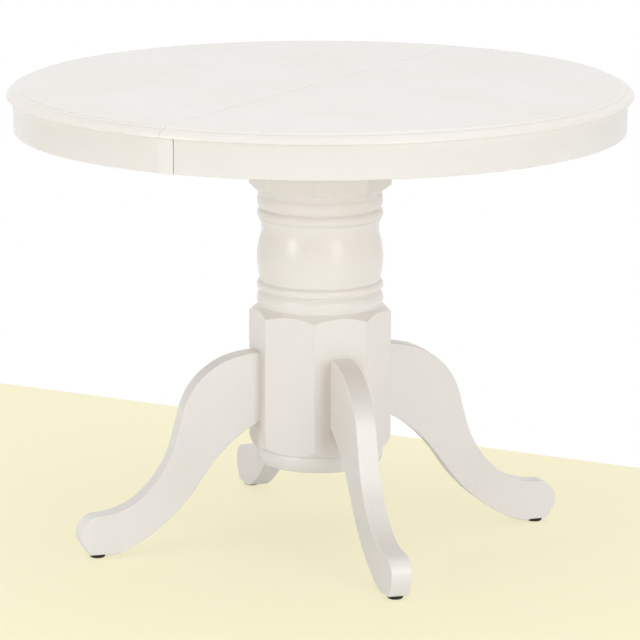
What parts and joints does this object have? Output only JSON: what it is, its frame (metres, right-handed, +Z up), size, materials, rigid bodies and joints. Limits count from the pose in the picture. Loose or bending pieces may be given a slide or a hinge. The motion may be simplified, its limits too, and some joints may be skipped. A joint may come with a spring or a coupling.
{
  "type": "round pedestal extension table",
  "caption": "Round painted pedestal table; its two half tops slide apart on geared wooden runners over an octagonal turned column on sawn scroll legs.",
  "frame": {"origin": "on the floor under the middle of the column", "axes": "+Z up; the joint between the two halves of the top runs along Y; the halves slide apart along X, the left one towards -X and the right one towards +X; the legs stand on the diagonals, turned 2 degrees anticlockwise seen from above"},
  "size_m": [1.0158, 1.016, 0.762],
  "materials": {
    "top_paint": "semi-gloss antique white paint",
    "body_paint": "satin antique white paint",
    "hardwood": "waxed beech",
    "plywood": "sanded birch plywood",
    "zinc_steel": "zinc plated",
    "gear_nylon": "moulded nylon",
    "glide_plastic": "black moulded plastic"
  },
  "bodies": {
    "pedestal": {"column": "body_paint", "leg_front_left": "body_paint", "leg_front_right": "body_paint", "leg_rear_left": "body_paint", "leg_rear_right": "body_paint", "glide_front_left": "glide_plastic", "glide_front_right": "glide_plastic", "glide_rear_left": "glide_plastic", "glide_rear_right": "glide_plastic", "hanger_bolts": "zinc_steel", "leg_washers": "zinc_steel", "leg_nuts": "zinc_steel", "mounting_board": "plywood", "board_screws": "zinc_steel", "slide_front_fixed": "hardwood", "slide_rear_fixed": "hardwood", "runner_screws": "zinc_steel", "stop_pins": "zinc_steel", "gear_plate": "zinc_steel", "plate_screws": "zinc_steel", "pinion_axle": "zinc_steel", "pinion_clip": "zinc_steel"},
    "left_half": {"top_left": "top_paint", "apron_left": "body_paint", "apron_block_front": "body_paint", "apron_block_rear": "body_paint", "slide_front_left": "hardwood", "slide_rear_left": "hardwood", "rack_left": "zinc_steel", "rack_block_left": "hardwood", "cleats_left": "hardwood", "apron_keys_left": "hardwood", "aligning_pins": "hardwood", "lock_plates": "zinc_steel", "screws_left": "zinc_steel"},
    "right_half": {"top_right": "top_paint", "apron_right": "body_paint", "apron_end_blocks_right": "hardwood", "slide_front_right": "hardwood", "slide_rear_right": "hardwood", "rack_right": "zinc_steel", "rack_block_right": "hardwood", "cleats_right": "hardwood", "apron_keys_right": "hardwood", "lock_keepers": "zinc_steel", "screws_right": "zinc_steel"},
    "pinion": {"pinion": "gear_nylon"},
    "lock_lever_front": {"lock_lever_front": "zinc_steel"},
    "lock_lever_rear": {"lock_lever_rear": "zinc_steel"}
  },
  "joints": [
    {"name": "left_slide", "type": "slide", "parent": "pedestal", "child": "left_half", "axis": [-1, 0, 0], "range_m": [0, 0.2285]},
    {"name": "right_slide", "type": "slide", "parent": "pedestal", "child": "right_half", "axis": [1, 0, 0], "range_m": [0, 0.2285]},
    {"name": "pinion_turn", "type": "hinge", "parent": "pedestal", "child": "pinion", "pos_m": [0, 0, 0.716], "axis": [0, 0, 1], "range_deg": [0, 525]},
    {"name": "lock_front_turn", "type": "hinge", "parent": "left_half", "child": "lock_lever_front", "pos_m": [-0.035, -0.32, 0.741], "axis": [0, 0, 1], "range_deg": [0, 90]},
    {"name": "lock_rear_turn", "type": "hinge", "parent": "left_half", "child": "lock_lever_rear", "pos_m": [-0.035, 0.32, 0.741], "axis": [0, 0, -1], "range_deg": [0, 90]}
  ],
  "couplings": [
    {"joint": "right_slide", "follows": "left_slide", "ratio": 1},
    {"joint": "pinion_turn", "follows": "left_slide", "rad_per_m": 40}
  ]
}
